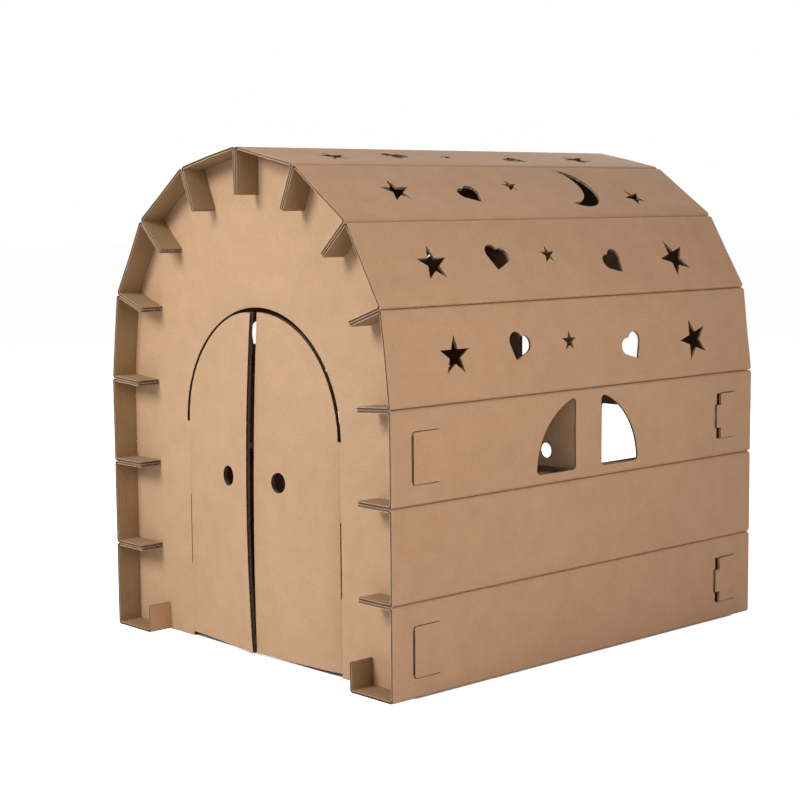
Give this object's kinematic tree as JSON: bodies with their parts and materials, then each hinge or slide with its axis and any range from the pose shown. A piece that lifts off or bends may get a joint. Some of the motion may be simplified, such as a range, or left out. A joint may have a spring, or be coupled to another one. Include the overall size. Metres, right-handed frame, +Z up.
{
  "type": "cardboard castle playhouse",
  "caption": "Barrel-vaulted cardboard playhouse of slotted channel slats between two arched end panels, with double doors, shuttered windows and star, heart and moon cut-outs.",
  "frame": {"origin": "on the floor under the middle of the house", "axes": "+Z up, +Y from the door end to the back, +X to the right seen from the door"},
  "size_m": [0.87, 1.045, 0.9984],
  "materials": {
    "slat_board": "matte brown kraft liner, single-wall corrugated board",
    "panel_board": "matte brown kraft liner, double-wall corrugated board"
  },
  "bodies": {
    "root": {"right_floor_slat": "slat_board", "right_wall_slat": "slat_board", "right_window_slat": "slat_board", "right_eaves_slat": "slat_board", "right_lower_roof_slat": "slat_board", "right_moon_slat": "slat_board", "right_ridge_slat": "slat_board", "left_floor_slat": "slat_board", "left_wall_slat": "slat_board", "left_window_slat": "slat_board", "left_eaves_slat": "slat_board", "left_lower_roof_slat": "slat_board", "left_moon_slat": "slat_board", "left_ridge_slat": "slat_board", "front_panel": "panel_board", "back_panel": "panel_board"}
  },
  "joints": []
}
